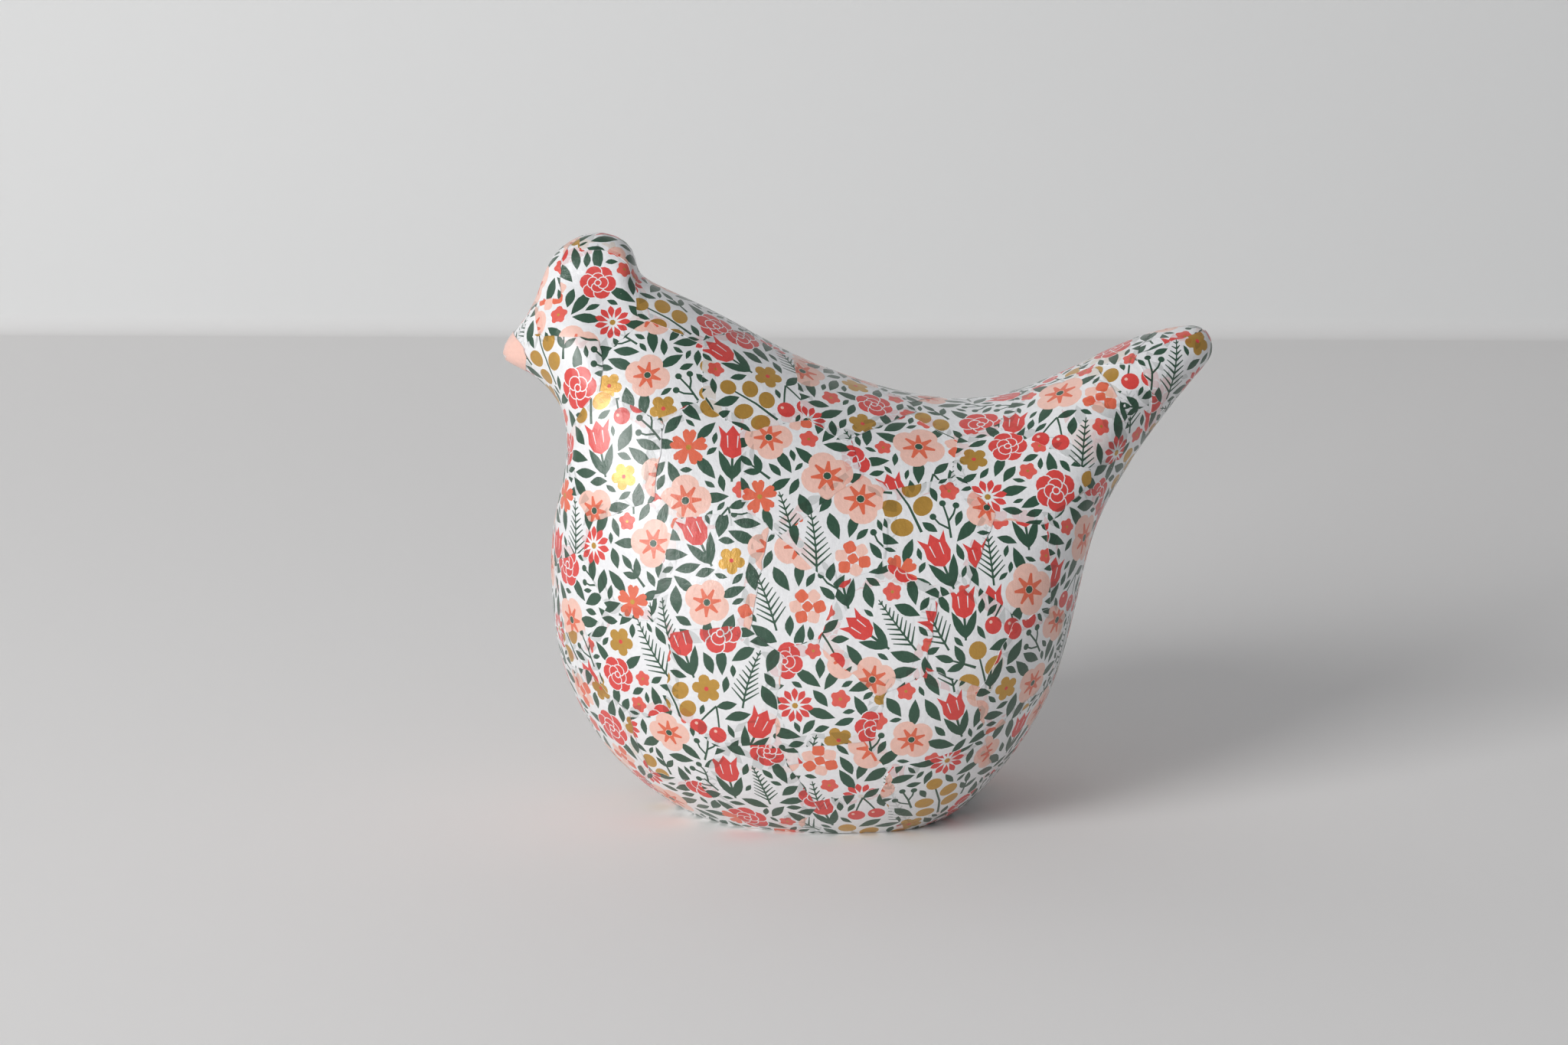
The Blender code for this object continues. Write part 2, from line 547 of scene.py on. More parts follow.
# %% [markdown]
# ## Inks
#
# The print has few inks: a coral, a rose, an orange, a peach, a dark green and a gold
# foil on white paper. Colours are written as they look on a screen and turned into the
# linear values that a renderer works with.

# %% Mix the inks
INKS = {
    "white": (0.935, 0.935, 0.94),
    "coral": (0.865, 0.265, 0.245),
    "rose": (0.895, 0.37, 0.32),
    "orange": (0.90, 0.42, 0.295),
    "peach": (0.96, 0.775, 0.715),
    "green": (0.165, 0.315, 0.235),
    "gold": (0.79, 0.605, 0.265),
}


def linear(colour):
    """A screen colour as linear light."""
    return tuple(c / 12.92 if c < 0.04045 else ((c + 0.055) / 1.055) ** 2.4 for c in colour)


ink_light = {name: np.array(linear(colour)) for name, colour in INKS.items()}
print("inks:", ", ".join(INKS))

# %% [markdown]
# ## Brush shapes
#
# Nearly all of the print is built from four shapes that a brush makes: a dab, a blade, a
# stroke and a lobed ring. Only a notched petal and the cup of a tulip are drawn point by
# point. Each shape is one closed outline with few points, because each point becomes a
# corner of the mesh.

# %% Four brush shapes
def dab(radius, count=7, squash=1.0, at=(0, 0)):
    turn = np.arange(count) * 2 * np.pi / count
    return np.stack([np.cos(turn) * radius, np.sin(turn) * radius * squash], 1) + at


def blade(length, width, fullness=1.0, bend=0.0, count=5):
    """A petal or leaf from its foot at the origin up to its tip."""
    t = np.linspace(0, 1, count + 1)
    half = width / 2 * np.sin(np.pi * t**fullness)
    middle = bend * length * t**2
    right = np.stack([middle + half, length * t], 1)
    left = np.stack([middle - half, length * t], 1)[1:-1]
    return np.concatenate([right, left[::-1]])


def stroke(line, width, taper=0.5):
    """A stroke along a line of points that thins towards its end."""
    line = np.asarray(line, float)
    along = unit(np.gradient(line, axis=0))
    across = np.stack([-along[:, 1], along[:, 0]], 1)
    half = (width / 2 * np.linspace(1, taper, len(line)))[:, None]
    return np.concatenate([line - across * half, (line + across * half)[::-1]])


def lobes(radius, count, depth, steps=5, phase=0.0):
    """A ring with that many round lobes, such as a small flower seen from above."""
    turn = np.arange(count * steps) * 2 * np.pi / (count * steps)
    out = radius * (1 - depth + depth * np.abs(np.cos(turn * count / 2)) ** 0.7)
    return np.stack([np.cos(turn + phase) * out, np.sin(turn + phase) * out], 1)


def turned(points, angle, at=(0, 0)):
    c, s = math.cos(angle), math.sin(angle)
    return points @ np.array([[c, s], [-s, c]]) + at


def ray(angle, out):
    """The point that far out, with the angle counted from straight up."""
    return np.array([-math.sin(angle), math.cos(angle)]) * out


def around(count, start=0.0):
    """That many angles, evenly all the way round."""
    return [start + 2 * math.pi * k / count for k in range(count)]


# %% [markdown]
# ## Round flowers
#
# Small mixed flowers are an old kind of print, and any set of plain kinds makes one.
# These are seen from above: peonies of round petals that overlap, cherry blossom with
# notched petals, asters, anemones, clusters of florets, and two that are little more
# than one lobed ring, a gold bloom and a speedwell.

# %% Draw the round flowers
def peony(size):
    """Round petals that overlap, each with a white line round it."""
    shapes, phase = [], rng.uniform(0, 6)
    for count, out, reach_out in ((6, 0.58, 0.43), (4, 0.26, 0.30)):
        for turn in around(count, phase):
            at = ray(turn, out * size)
            shapes.append(("white", turned(dab((reach_out + 0.055) * size, 12, 0.88), turn, at)))
            shapes.append(("coral", turned(dab(reach_out * size, 12, 0.88), turn, at)))
        phase += 0.6
    return [*shapes, ("white", dab(0.20 * size, 9)), ("coral", dab(0.14 * size, 8))]


def cherry_blossom(size):
    """Five notched petals with a gold dot."""
    points = []
    half = ((0.30, -0.62), (0.66, -0.52), (0.89, -0.42), (1.0, -0.22), (0.96, -0.09))
    petal = (*half, (0.84, 0.0), *[(out, -off) for out, off in half[:0:-1]])
    for turn in around(5):
        points += [ray(turn + off, out * size) for out, off in petal]
    return [("orange", np.array(points)), ("gold", dab(0.15 * size, 8))]


def aster(size):
    """Narrow petals round a small gold eye."""
    shapes = []
    for angle in around(11):
        petal = turned(blade(0.74 * size, 0.36 * size, 1.4), angle, ray(angle, 0.26 * size))
        shapes.append(("coral", petal))
    return [*shapes, ("gold", dab(0.17 * size, 7))]


def anemone(size):
    """Four broad peach petals with orange streaks from a dark middle."""
    shapes = [("peach", lobes(size, 4, 0.24, 8, rng.uniform(0, 6)))]
    for angle in around(7):
        line = [ray(angle, 0.16 * size), ray(angle, 0.62 * size)]
        shapes.append(("orange", stroke(line, 0.26 * size, 0.35)))
    return [*shapes, ("green", dab(0.15 * size, 8))]


def florets(size):
    """A round head of small florets."""
    shapes = []
    for angle, ink in zip(around(6), ("peach", "orange") * 3):
        at = ray(angle, 0.64 * size)
        shapes.append((ink, lobes(0.37 * size, 4, 0.26, 5, rng.uniform(0, 3)) + at))
    return [*shapes, ("orange", lobes(0.30 * size, 4, 0.26))]


def gold_bloom(size):
    return [("gold", lobes(size, 5, 0.34, 6)), ("coral", dab(0.16 * size, 7))]


def speedwell(size):
    return [("rose", lobes(size, 5, 0.40, 5, rng.uniform(0, 3))), ("gold", dab(0.17 * size, 6))]


print("a peony has", sum(len(points) for _, points in peony(5.0)), "points")

# %% [markdown]
# ## Flowers from the side, and leaves
#
# Tulips stand and cherries hang on their stems, and round gold coins grow left and right
# of a branch. Sprigs, ferns and berries give the print its dark green. Most of the green
# is plain leaves, in sprigs or one by one.

# %% Draw the stems and leaves
def tulip(size):
    belly = ((0, -0.95), (0.48, -0.72), (0.72, -0.2), (0.66, 0.35))
    half = (*belly, (0.82, 1.0), (0.36, 0.55), (0, 1.05))
    cup = np.array([*half, *[(-x, y) for x, y in half[-2:0:-1]]]) * size
    shapes = [("green", stroke([(0, -0.8 * size), (0, -2.3 * size)], 0.7, 0.9)), ("coral", cup)]
    for side in (-1, 1):
        side_leaf = turned(blade(1.9 * size, 0.55 * size, 0.9), side * 0.42, (0, -2.2 * size))
        shapes.insert(0, ("green", side_leaf))
        line = np.array([(side * 0.30, 0.42), (side * 0.26, -0.30)]) * size
        shapes.append(("white", stroke(line, 0.34)))
    return shapes


def cherries(size):
    shapes = []
    for side in (-1, 1):
        line = np.array([(0, 1.3), (side * 0.34, 0.6), (side * 0.66, -0.2)]) * size
        shapes.append(("green", stroke(line, 0.6, 0.8)))
        x = side * 0.66 * size
        shapes.append(("coral", dab(0.58 * size, 16, 1.0, (x, -0.62 * size))))
        shapes.append(("peach", dab(0.12 * size, 6, 1.0, (x - 0.2 * size, -0.42 * size))))
    return [("green", turned(blade(1.4 * size, 0.6 * size), -1.0, (0, 1.25 * size))), *shapes]


def coin_branch(size):
    """Gold coins to the left and right of a stem."""
    shapes = [("green", stroke([(0, -1.5 * size), (0.12 * size, 0), (0, 1.5 * size)], 0.8, 0.6))]
    for side, up in ((-1, -0.85), (1, -0.35), (-1, 0.25), (1, 0.75)):
        at = (side * 0.72 * size, up * size)
        shapes.append(("gold", turned(dab(0.56 * size, 18, 0.82), side * 0.5, at)))
    return [*shapes, ("gold", dab(0.46 * size, 16, 1.0, (0, 1.75 * size)))]


def leaf(length):
    width = rng.uniform(0.38, 0.48) * length
    fullness, bend = rng.uniform(0.85, 1.15), rng.uniform(-0.15, 0.15)
    count = 4 + (length > 4) + (length > 6)
    return [("green", blade(length, width, fullness, bend, count) + (0, -length / 2))]


def sprig(pairs, length):
    """A curved stem with pairs of leaves along it and one at its tip."""
    tall = length * (0.45 + 0.62 * pairs)
    bend = rng.uniform(-0.22, 0.22)
    t = np.linspace(0, 1, 5)
    shapes = [("green", stroke(np.stack([bend * tall * t**2, tall * (t - 0.5)], 1), 0.8, 0.6))]
    for k in range(pairs):
        share = (k + 0.7) / (pairs + 0.4)
        for side in (-1, 1):
            angle = side * rng.uniform(0.55, 0.85) - bend * share
            size = length * rng.uniform(0.85, 1.05) * (1.12 - 0.35 * share)
            foot_of = (bend * tall * share**2, tall * (share - 0.5))
            shapes.append(("green", turned(blade(size, 0.42 * size, 0.9), angle, foot_of)))
    tip = turned(blade(0.9 * length, 0.36 * length, 0.9), -2 * bend, (bend * tall, 0.46 * tall))
    return [*shapes, ("green", tip)]


def berries(length):
    """Round berries on a forked stem."""
    shapes = [("green", stroke([(0, -length / 2), (0.04 * length, 0), (0, length / 2)], 0.65, 0.8))]
    ends = [(0, length / 2)]
    for side, low in ((-1, -0.25), (1, -0.05)):
        ends.append((side * 0.34 * length, (low + 0.42) * length))
        fork, elbow = (0.02 * length, low * length), (side * 0.22 * length, (low + 0.2) * length)
        shapes.append(("green", stroke([fork, elbow, ends[-1]], 0.6, 0.8)))
    return shapes + [("green", dab(0.95, 10, 1.0, end)) for end in ends]


def fern(length):
    """A bowed stem with many thin leaflets."""
    bend = rng.uniform(-0.2, 0.2)
    t = np.linspace(0, 1, 6)
    shapes = [("green", stroke(np.stack([bend * length * t**2, length * (t - 0.5)], 1), 0.6))]
    for share in np.linspace(0.12, 0.92, 9):
        foot_of = np.array([bend * length * share**2, length * (share - 0.5)])
        for side in (-1, 1):
            tip = foot_of + ray(-side * 0.85, length * 0.30 * (1.1 - share))
            shapes.append(("green", stroke([foot_of, tip], 0.62, 0.4)))
    return shapes


def leafy(shapes, radius, count):
    """A flower with leaves that peek out from behind it."""
    start = rng.uniform(0, 6)
    leaves = []
    for angle in around(count, start):
        angle += rng.uniform(-0.4, 0.4)
        length = rng.uniform(5.4, 7.2) + 0.3 * radius
        outline = turned(blade(length, 0.38 * length, 0.9), angle, ray(angle, 0.6 * radius))
        leaves.append(("green", outline))
    return leaves + shapes


print("a sprig has", sum(len(points) for _, points in sprig(4, 4.0)), "points")

# %% [markdown]
# ## The repeat of the print
#
# Printed paper repeats. The repeat is a square whose right side meets its left and
# whose top meets its bottom. Motifs could be set out by hand, but hundreds are more
# than a hand has patience for. So they are tried at random in the free room, large ones
# first, and stay where they touch nothing. Leaves and speedwells of smaller and smaller
# size fill what is left. A coarse grid remembers what is taken.

# %% Say what goes into the repeat
REPEAT = 132.0
PLAN = (
    (lambda: fern(rng.uniform(15, 19)), 9, 0.3),
    (lambda: coin_branch(rng.uniform(5.0, 5.7)), 4, 0.4),
    (lambda: leafy(anemone(rng.uniform(6.2, 7.6)), 6.8, 3), 15, 3.1),
    (lambda: leafy(peony(rng.uniform(5.3, 6.4)), 5.8, 3), 14, 3.1),
    (lambda: tulip(rng.uniform(4.2, 5.0)), 10, 0.5),
    (lambda: leafy(aster(rng.uniform(5.0, 6.0)), 5.4, 2), 8, 3.1),
    (lambda: leafy(cherry_blossom(rng.uniform(4.7, 5.6)), 5.0, 3), 32, 3.1),
    (lambda: cherries(rng.uniform(4.1, 4.8)), 9, 0.5),
    (lambda: florets(rng.uniform(4.8, 5.8)), 12, 3.1),
    (lambda: gold_bloom(rng.uniform(3.3, 4.3)), 6, 3.1),
    (lambda: sprig(int(rng.integers(3, 5)), rng.uniform(5.4, 6.8)), 22, 0.8),
    (lambda: berries(rng.uniform(8.0, 11.0)), 14, 0.8),
    (lambda: sprig(int(rng.integers(1, 3)), rng.uniform(5.4, 6.8)), 60, 3.1),
    (lambda: speedwell(rng.uniform(2.2, 3.0)), 24, 3.1),
    (lambda: leaf(rng.uniform(7.0, 8.6)), 200, 3.1),
    (lambda: leaf(rng.uniform(5.4, 6.6)), 300, 3.1),
    (lambda: leaf(rng.uniform(4.2, 5.2)), 300, 3.1),
    (lambda: speedwell(rng.uniform(1.4, 1.8)), 24, 3.1),
    (lambda: leaf(rng.uniform(3.2, 3.8)), 100, 3.1),
)
print("motifs wanted:", sum(wanted for _, wanted, _ in PLAN))

# %% Fill the repeat with motifs
CELL = 0.33
CELLS = round(REPEAT / CELL)
MARK_STEP = 0.5
RING_STEP = 0.7
THIN = 0.3
TRIES = 48
TURNS = 36
GIVE_UP = 6


def footprint(shapes):
    """Points all over a motif, close enough together to find what it would touch."""
    found = []
    for _, points in shapes:
        ring = np.concatenate([points, points[:1]])
        along = np.append(0, np.cumsum(np.linalg.norm(np.diff(ring, axis=0), axis=1)))
        marks = np.arange(0, along[-1], MARK_STEP)
        edge = np.stack([np.interp(marks, along, ring[:, k]) for k in (0, 1)], 1)
        middle = points.mean(0)
        thin = 4 * math.pi * abs(area_of(points)) < THIN * along[-1] ** 2
        rings = 1 if thin else 1 + int(np.linalg.norm(points - middle, axis=1).max() / RING_STEP)
        found += [middle + (edge - middle) * (1 - k / rings) for k in range(rings)]
    cells = np.unique(np.floor(np.concatenate(found) / CELL), axis=0)
    return (cells + 0.5) * CELL


def free_place(taken, marks, spread):
    """A turn and a place at which a motif touches nothing, or none."""
    free = np.argwhere(~taken)
    for _ in range(TURNS):
        turn = rng.uniform(-spread, spread)
        places = (free[rng.integers(0, len(free), TRIES)] + rng.random((TRIES, 2))) * CELL
        cells = np.floor((turned(marks, turn) + places[:, None]) / CELL).astype(int) % CELLS
        i, j = np.moveaxis(cells, -1, 0)
        fits = np.flatnonzero(~taken[i, j].any(1))
        if len(fits):
            return turn, places[fits[0]], i[fits[0]], j[fits[0]]
    return None


def filled_repeat():
    """Every motif of the repeat: its place, its outer radius and its shapes."""
    taken = np.zeros((CELLS, CELLS), bool)
    placed = []
    for draw, wanted, spread in PLAN:
        missed = 0
        for _ in range(wanted):
            shapes = draw()
            marks = footprint(shapes)
            found = free_place(taken, marks, spread)
            missed = 0 if found else missed + 1
            if missed == GIVE_UP:
                break
            if found:
                turn, at, i, j = found
                for di in (-1, 0, 1):
                    for dj in (-1, 0, 1):
                        taken[(i + di) % CELLS, (j + dj) % CELLS] = True
                radius = np.linalg.norm(marks, axis=1).max()
                placed.append((at, radius, [(ink, turned(points, turn)) for ink, points in shapes]))
    print("motifs in the repeat:", len(placed), "taken:", round(taken.mean(), 2))
    return placed


repeat = filled_repeat()
print("points in the repeat:", sum(len(p) for _, _, shapes in repeat for _, p in shapes))

# %% [markdown]
# ## What is printed on each piece
#
# Each piece of paper is cut from its own part of the repeat. Varnish makes thin paper a
# little clear, so where pieces overlap, the print of the lower one shows through. Each
# piece therefore also gets the outlines of the pieces below it, carried over by way of
# the form. Print that is wholly hidden under another piece is left off its own piece.
# The peach cap of the beak is solid colour, so nothing shows through it.

# %% Give each piece its print and what shows through from below
SMALL_HALF = 9.0
LARGE_TURN = 0.10
SMALL_TURN = 1.2


def window_of_print(piece):
    """The inks and outlines that fall on a piece, in its flat coordinates."""
    origin = rng.uniform(0, REPEAT, 2)
    large = piece.halves.min() > SMALL_HALF
    turn = rng.normal(0, LARGE_TURN) if large else rng.uniform(-SMALL_TURN, SMALL_TURN)
    reach_out = np.linalg.norm(piece.edge, axis=1).max() + 1
    found = []
    for at, radius, shapes in repeat:
        offset = (at - origin + REPEAT / 2) % REPEAT - REPEAT / 2
        if np.linalg.norm(offset) < reach_out + radius:
            found += [(ink, turned(points + offset, turn)) for ink, points in shapes]
    low, high = piece.edge.min(0), piece.edge.max(0)
    return [
        (ink, points)
        for ink, points in found
        if (points.max(0) > low).all() and (points.min(0) < high).all()
    ]


def carried(outlines, below, above):
    """Outlines on one piece, in the flat coordinates of another, and which reach it."""
    sizes = [len(points) for points in outlines]
    flat, miss = above.flattened(below.laid(np.concatenate(outlines))[0])
    on = inside(flat, above.edge) & (miss < MOST_MISS)
    cuts = np.cumsum(sizes)[:-1]
    return list(zip(np.split(flat, cuts), np.split(on, cuts)))


for piece in pieces:
    piece.prints = window_of_print(piece) if piece.ink == "white" else []
    piece.under, piece.hidden = [], set()
for high in np.argsort(layers, kind="stable"):
    for low in np.flatnonzero(touching[high] & (layers < layers[high])):
        above, below = pieces[high], pieces[low]
        edge, *shapes = carried([below.edge, *(points for _, points in below.prints)], below, above)
        seen = [
            (below.prints[k][0], flat)
            for k, (flat, on) in enumerate(shapes)
            if on.any() and k not in below.hidden
        ]
        if above.ink == "white":
            above.under.append((layers[low], edge[0], seen))
        below.hidden |= {k for k, (_, on) in enumerate(shapes) if on.all()}
for piece in pieces:
    piece.prints = [shape for k, shape in enumerate(piece.prints) if k not in piece.hidden]
    piece.under.sort(key=lambda sheet: sheet[0])
print("outlines printed:", sum(len(p.prints) for p in pieces))
print("outlines that show through:", sum(len(seen) for p in pieces for _, _, seen in p.under))

# %% [markdown]
# ## Cutting the print into a piece
#
# The outlines of a piece and a grid of points go through a Delaunay triangulation. It
# makes every outline a line of mesh edges and says which outlines each triangle lies in.
# The last one painted gives the triangle its ink, so the print is as sharp as the mesh.

# %% Triangulate a piece together with its print
MESH_STEP = 2.4
FINE_STEP = 1.5
CDT_INSIDE = 1
CDT_NEAR = 2e-3
EDGE_BAND = 0.28
# Painted shade along each piece's edge, where the paper's thickness shades it, with some varnish
# and dirt that gather there.
EDGE_SHADE_AND_DIRT = 0.91
SHOW_THROUGH = 0.28
FOIL = 0.45
LEAK = 1.3
LEAK_ROOM = 0.1


def grid_points(piece):
    step = FINE_STEP if piece.halves.min() < SMALL_HALF else MESH_STEP
    counts = np.ceil(2 * piece.halves / step).astype(int)
    lines = [np.linspace(-h, h, n + 1) for h, n in zip(piece.halves, counts)]
    return np.stack(np.meshgrid(*lines, indexing="ij"), -1).reshape(-1, 2)


def triangulated(outlines, loose):
    """Flat points, triangles, and for each triangle the outlines that it lies in."""
    points, rings, start = [], [], 0
    for outline in outlines:
        points.append(outline if area_of(outline) > 0 else outline[::-1])
        rings.append(list(range(start, start + len(outline))))
        start += len(outline)
    points = np.concatenate([*points, loose])
    made = delaunay_2d_cdt(points.tolist(), [], rings, CDT_INSIDE, CDT_NEAR, True)
    flat, faces, ids = np.array([p[:] for p in made[0]]), np.array(made[2]), made[5]
    one, other = sides(flat[faces])
    size = np.abs(one[:, 0] * other[:, 1] - one[:, 1] * other[:, 0]) / 2
    # An outline that fills much more than its own area has leaked, and is left out.
    filled = np.zeros(len(outlines))
    for area, inside_of in zip(size, ids):
        filled[inside_of] += area
    wanted = np.array([abs(area_of(outline)) for outline in outlines])
    sound = filled < LEAK * wanted + LEAK_ROOM
    return flat, faces, [[n for n in inside_of if sound[n]] for inside_of in ids]


def printed(piece):
    """The mesh of a piece: flat points, triangles, their colours and their foil."""
    # The second outline lies a little inside the edge; the band outside it gets the painted edge
    # shade.
    outlines = [piece.edge, piece.edge * (1 - EDGE_BAND / piece.halves)]
    sheet_of, ink_of = [0, 0], [piece.ink, piece.ink]
    edges_below = set()
    for sheet, (_, edge, seen) in enumerate([(0, None, piece.prints), *piece.under]):
        if edge is not None:
            edges_below.add(len(outlines))
            seen = [("white", edge), *seen]
        for ink, points in seen:
            outlines.append(points)
            sheet_of.append(sheet)
            ink_of.append(ink)
    flat, faces, ids = triangulated(outlines, grid_points(piece))
    kept, colours, foils = [], [], []
    for face, inside_of in zip(faces, ids):
        if 0 not in inside_of:
            continue
        ink = ink_of[max(n for n in inside_of if sheet_of[n] == 0)]
        # Faces in the band along the edge are darkened: painted shade of the paper's thickness,
        # with some varnish and dirt.
        colour = ink_light[ink] * (1 if 1 in inside_of else EDGE_SHADE_AND_DIRT)
        below = [sheet_of[n] for n in inside_of if n in edges_below]
        if below:
            under = ink_of[max(n for n in inside_of if sheet_of[n] == max(below))]
            colour = colour * (1 - SHOW_THROUGH + SHOW_THROUGH * ink_light[under])
        kept.append(face)
        colours.append(colour)
        foils.append(FOIL if ink == "gold" else 0.0)
    return flat, np.array(kept), np.array(colours), np.array(foils, float)


print("the plain cap of the beak has", len(printed(pieces[-1])[1]), "triangles")

# %% [markdown]
# ## From flat paper to a mesh on the hen
#
# The flat mesh is laid on the form at the height of its layer. Its edge gets a narrow
# wall that goes down just into the form, so each piece has the thickness that catches
# light along its edges. What would reach under the foot is cut away there.

# %% Build each layer of paper as one mesh
PAPER_BASE = 0.06
PAPER_STEP = 0.055
SUNK = 0.02
WALL_WIDTH = 0.4
TILE_GAP = 1.0


def rim_edges(faces):
    """The edges with one face, in that face's direction."""
    edges = np.concatenate([faces[:, [0, 1]], faces[:, [1, 2]], faces[:, [2, 0]]])
    keys = np.sort(edges, 1) @ np.array([1 << 32, 1])
    _, first, counts = np.unique(keys, return_index=True, return_counts=True)
    return edges[first[counts == 1]]


def paper_mesh(piece, layer):
    """Places, faces, colours, foil and corner normals of a piece pasted on in its layer."""
    flat, faces, colours, foils = printed(piece)
    places, outs = nearest(piece.laid(flat)[0])
    on_side = (places[faces][:, :, 2] > FOOT_LEVEL).any(1)
    faces, colours, foils = faces[on_side], colours[on_side], foils[on_side]
    top = places + outs * (PAPER_BASE + PAPER_STEP * layer)
    low = places - outs * SUNK
    for side in (top, low):
        side[:, 2] = np.maximum(side[:, 2], FOOT_LEVEL)
    rim = rim_edges(faces)
    used, lowered = np.unique(rim, return_inverse=True)
    lowered = lowered.reshape(rim.shape) + len(top)
    walls = np.stack([rim[:, 0], lowered[:, 0], lowered[:, 1], rim[:, 1]], 1)
    points = np.concatenate([top, low[used]])
    start, down, _, along = points[walls.T]
    wall_normals = np.repeat(unit(np.cross(down - start, along - start)), 4, 0)
    return {
        "points": points,
        "faces": faces,
        "walls": walls,
        "colours": np.concatenate([colours, np.tile(ink_light["white"], (len(walls), 1))]),
        "foils": np.concatenate([foils, np.zeros(len(walls))]),
        "normals": np.concatenate([outs[faces.ravel()], wall_normals]),
        "flat": np.concatenate([flat, flat_wall(flat, rim, used)]),
    }


def flat_wall(flat, rim, used):
    """Flat places for the lower edge of the wall, just outside the outline."""
    away = np.zeros_like(flat)
    along = unit(flat[rim[:, 1]] - flat[rim[:, 0]])
    across = np.stack([along[:, 1], -along[:, 0]], 1)
    np.add.at(away, rim[:, 0], across)
    np.add.at(away, rim[:, 1], across)
    return (flat + WALL_WIDTH * unit(away))[used]


def joined_mesh(name, parts):
    """One object from the meshes of several pieces, with their colours, foil and maps."""
    start, points, faces, normals, flats = 0, [], [], [], []
    side = math.ceil(math.sqrt(len(parts)))
    tile = max(np.ptp(part["flat"], axis=0).max() for part in parts) + TILE_GAP
    for k, part in enumerate(parts):
        points.append(part["points"])
        faces += (part["faces"] + start).tolist() + (part["walls"] + start).tolist()
        normals.append(part["normals"])
        middle = (part["flat"].max(0) + part["flat"].min(0)) / 2
        place = (part["flat"] - middle) / tile + (k % side + 0.5, k // side + 0.5)
        flats.append(place / side)
        start += len(part["points"])
    mesh = bpy.data.meshes.new(name)
    mesh.from_pydata((np.concatenate(points) * MM).tolist(), [], faces)
    colours = np.concatenate([part["colours"] for part in parts])
    colours = np.concatenate([colours, np.ones((len(colours), 1))], 1).astype(np.float32)
    mesh.attributes.new("ink", "FLOAT_COLOR", "FACE").data.foreach_set("color", colours.ravel())
    foils = np.concatenate([part["foils"] for part in parts]).astype(np.float32)
    mesh.attributes.new("foil", "FLOAT", "FACE").data.foreach_set("value", foils)
    uses = np.zeros(len(mesh.loops), np.int32)
    mesh.loops.foreach_get("vertex_index", uses)
    placed = np.concatenate(flats)[uses].astype(np.float32)
    mesh.uv_layers.new(name="OFBake").uv.foreach_set("vector", placed.ravel())
    mesh.shade_smooth()
    mesh.normals_split_custom_set(np.concatenate(normals).tolist())
    return added(name, mesh)


paper = []
for layer in range(layers.max() + 1):
    parts = [paper_mesh(pieces[k], layer) for k in np.flatnonzero(layers == layer)]
    paper.append(joined_mesh(f"paper_layer_{layer + 1}", parts))
    print(paper[-1].name, "has", len(paper[-1].data.polygons), "faces")

# %% [markdown]
# ## Paper, ink, foil and varnish
#
# One material serves all the paper. The ink and the foil come from the mesh. Under the
# varnish the surface is never quite flat: paper fibres make a fine grain, the brush
# leaves strokes up and down, and the paste leaves soft wrinkles. All are bumps too
# small to model.

# %% Make the printed paper's material
COAT_WEIGHT = 0.55
COAT_ROUGHNESS = 0.1
NOISE_RANGE = (0.25, 0.75)
# Noises: scale and detail, then roughness and squeeze where they matter. Depths in metres.
MOTTLE = (900, 4)
MOTTLE_RANGE = (0.93, 1.03)
DULLNESS = (260, 3)
DULLNESS_RANGE = (0.34, 0.5)
FIBRES = (2400, 4, 0.65)
FIBRE_DEPTH = 0.00006
STROKES = (700, 5, 0.6, (1.0, 1.0, 0.25))
STROKE_DEPTH = 0.00010
WRINKLES = (110, 3, 0.6)
WRINKLE_DEPTH = 0.00036


def new_material(name):
    material = bpy.data.materials.new(name)
    material.use_nodes = True
    nodes = material.node_tree.nodes
    return material, nodes, material.node_tree.links, nodes["Principled BSDF"]


def set_inputs(node, values):
    for name, value in values.items():
        node.inputs[name].default_value = value


def noise(nodes, links, scale, detail=3.0, roughness=0.5, squeeze=(1, 1, 1)):
    """Noise in the object's own coordinates, with its features 1/scale metres apart."""
    coordinates = nodes.get("Texture Coordinate") or nodes.new("ShaderNodeTexCoord")
    squeezed = nodes.new("ShaderNodeVectorMath")
    squeezed.operation = "MULTIPLY"
    squeezed.inputs[1].default_value = squeeze
    links.new(coordinates.outputs["Object"], squeezed.inputs[0])
    node = nodes.new("ShaderNodeTexNoise")
    set_inputs(node, {"Scale": scale, "Detail": detail, "Roughness": roughness})
    links.new(squeezed.outputs["Vector"], node.inputs["Vector"])
    return node.outputs["Fac"]


def ranged(nodes, links, value, low, high):
    """A 0 to 1 value stretched to run from low to high."""
    node = nodes.new("ShaderNodeMapRange")
    least, most = NOISE_RANGE
    set_inputs(node, {"From Min": least, "From Max": most, "To Min": low, "To Max": high})
    links.new(value, node.inputs["Value"])
    return node.outputs["Result"]


def bump(nodes, links, height, depth, over=None):
    """A bump that is depth metres deep, on top of another one if there is one."""
    node = nodes.new("ShaderNodeBump")
    node.inputs["Distance"].default_value = depth
    links.new(height, node.inputs["Height"])
    if over:
        links.new(over, node.inputs["Normal"])
    return node.outputs["Normal"]


def attribute(nodes, name, output):
    node = nodes.new("ShaderNodeAttribute")
    node.attribute_name = name
    return node.outputs[output]


